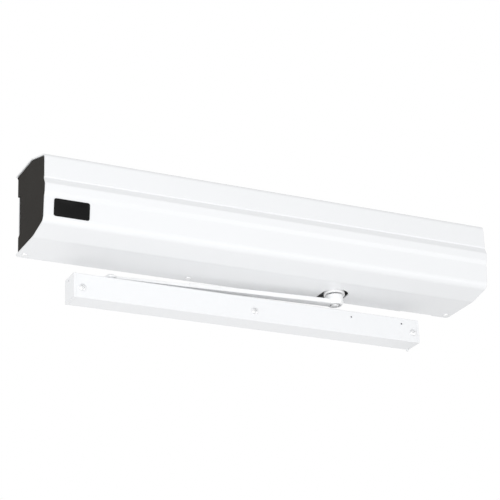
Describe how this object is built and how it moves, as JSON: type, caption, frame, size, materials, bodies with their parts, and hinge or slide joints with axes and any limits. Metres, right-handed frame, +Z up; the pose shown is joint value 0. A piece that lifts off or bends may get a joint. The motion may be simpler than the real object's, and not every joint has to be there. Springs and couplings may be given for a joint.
{
  "type": "low energy door operator",
  "caption": "Wall hung swing door operator: a long painted cover over a motor, gear train and sprung piston closer that turn a slide track arm below.",
  "frame": {"origin": "centre of the back plate's four corner screw holes, on the wall plane", "axes": "+X along the wall to the right seen from the room, +Y into the wall, +Z up; the room and the opening door are on the -Y side"},
  "size_m": [0.7122, 0.1373, 0.1885],
  "materials": {
    "white_paint": "smooth satin powder coat",
    "black_plastic": "fine grained moulding",
    "badge_black": "smooth, bare",
    "plated_steel": "zinc plated",
    "bare_steel": "machined",
    "spring_steel": "oiled",
    "black_casting": "black painted cast iron",
    "silver_paint": "silver paint",
    "gear_bronze": "machined",
    "black_rubber": "soft",
    "seal_case": "pressed, nickel plated",
    "motor_black": "black",
    "sensor_blue": "moulded",
    "board_green": "solder mask",
    "relay_blue": "moulded",
    "can_dark": "sleeved",
    "terminal_green": "moulded",
    "sink_black": "anodised",
    "core_steel": "stacked sheets",
    "winding_copper": "enamelled wire",
    "block_cream": "moulded",
    "lead_black": "sleeved",
    "lead_brown": "sleeved",
    "lead_blue": "sleeved",
    "switch_black": "moulded",
    "rocker_black": "moulded",
    "slider_nylon": "moulded"
  },
  "bodies": {
    "base": {"cover": "white_paint", "end_cap_left": "black_plastic", "end_cap_right": "black_plastic", "badge_plate": "badge_black", "back_plate": "plated_steel", "closer_bolts": "plated_steel", "gear_plate": "plated_steel", "top_plate": "plated_steel", "gear_screws": "plated_steel", "transformer_bracket": "plated_steel", "cover_screws": "plated_steel", "spring_plug": "bare_steel", "valve_plug": "bare_steel", "bearing_outer_rings": "bare_steel", "bearing_balls": "bare_steel", "idler_shafts": "bare_steel", "gearhead": "bare_steel", "closing_spring": "spring_steel", "closer_body": "black_casting", "gear_posts": "gear_bronze", "regulating_valves": "gear_bronze", "board_standoffs": "gear_bronze", "entry_bushes": "black_rubber", "spindle_seal": "seal_case", "motor_can": "motor_black", "position_sensor": "sensor_blue", "control_board": "board_green", "board_relays": "relay_blue", "board_capacitors": "can_dark", "terminal_blocks": "terminal_green", "heat_sink": "sink_black", "transformer_core": "core_steel", "transformer_winding": "winding_copper", "mains_block": "block_cream", "mains_loom": "lead_black", "switch_leads": "lead_brown", "board_leads": "lead_blue", "switch_body": "switch_black"},
    "arm": {"arm": "silver_paint", "spindle": "bare_steel", "spindle_gear": "gear_bronze", "spindle_screw": "bare_steel", "eye_bush": "bare_steel", "bearing_inner_rings": "bare_steel"},
    "piston": {"piston": "bare_steel", "piston_seals": "black_rubber"},
    "slider": {"slider_block": "slider_nylon", "slider_pin": "bare_steel", "pin_clip": "plated_steel"},
    "track": {"track_channel": "white_paint", "track_end_left": "white_paint", "track_end_right": "white_paint", "track_screws": "plated_steel", "stop_block": "plated_steel", "stop_buffer": "black_rubber", "stop_screws": "spring_steel"},
    "first_idler": {"first_idler": "gear_bronze"},
    "second_idler": {"second_idler": "gear_bronze"},
    "motor_pinion": {"motor_pinion": "bare_steel"},
    "rocker": {"switch_rocker": "rocker_black"}
  },
  "joints": [
    {"name": "arm_swing", "type": "hinge", "parent": "base", "child": "arm", "pos_m": [0.1365, -0.032, -0.062], "axis": [0, 0, 1], "range_deg": [0, 130], "stiffness_Nm_per_rad": 8, "springref_deg": -34.38},
    {"name": "piston_slide", "type": "slide", "parent": "base", "child": "piston", "axis": [1, 0, 0], "range_m": [0, 0.0227], "deforming": ["closing_spring"]},
    {"name": "first_idler_spin", "type": "hinge", "parent": "base", "child": "first_idler", "pos_m": [0.10947, -0.05093, 0.014], "axis": [0, 0, 1], "range_deg": [-346.7, 0]},
    {"name": "second_idler_spin", "type": "hinge", "parent": "base", "child": "second_idler", "pos_m": [0.07827, -0.05531, 0.02], "axis": [0, 0, 1], "range_deg": [0, 866.7]},
    {"name": "motor_spin", "type": "hinge", "parent": "base", "child": "motor_pinion", "pos_m": [0.04578, -0.05531, 0.02], "axis": [0, 0, 1], "range_deg": [-2888.9, 0]},
    {"name": "slider_pivot", "type": "hinge", "parent": "arm", "child": "slider", "pos_m": [-0.2187, -0.0175, -0.092], "axis": [0, 0, 1], "range_deg": [-60, 10]},
    {"name": "track_slide", "type": "slide", "parent": "slider", "child": "track", "axis": [1, 0, 0], "range_m": [-0.348, 0.0385]},
    {"name": "rocker_tilt", "type": "hinge", "parent": "base", "child": "rocker", "pos_m": [0.3511, -0.08, -0.01], "axis": [0, 1, 0], "range_deg": [-10, 10]}
  ],
  "couplings": [
    {"joint": "piston_slide", "follows": "arm_swing", "m_per_rad": 0.01},
    {"joint": "first_idler_spin", "follows": "arm_swing", "ratio": -2.6667},
    {"joint": "second_idler_spin", "follows": "arm_swing", "ratio": 6.6667},
    {"joint": "motor_spin", "follows": "arm_swing", "ratio": -22.222}
  ]
}
